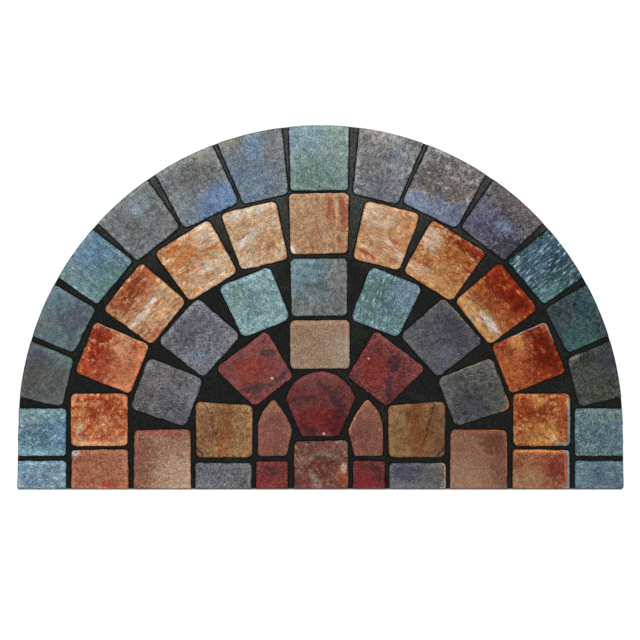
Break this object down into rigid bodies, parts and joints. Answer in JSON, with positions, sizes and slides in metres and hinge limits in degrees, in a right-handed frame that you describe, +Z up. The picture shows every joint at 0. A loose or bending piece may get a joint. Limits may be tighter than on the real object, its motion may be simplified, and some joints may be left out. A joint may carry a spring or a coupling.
{
  "type": "half round doormat",
  "caption": "Half round doormat with a felt face moulded as raised paving stones in arched rings, on a flat rubber backing.",
  "frame": {"origin": "on the floor under the middle of the mat's bounding box", "axes": "+X along the straight side, +Y from the straight side towards the top of the arc, +Z up out of the felt face"},
  "size_m": [0.9139, 0.549, 0.008],
  "materials": {
    "rubber": "matt grey rubber sheet",
    "felt": "printed needle felt, matt and slightly fuzzy"
  },
  "bodies": {
    "root": {"rubber_backing": "rubber", "felt_face": "felt"}
  },
  "joints": []
}
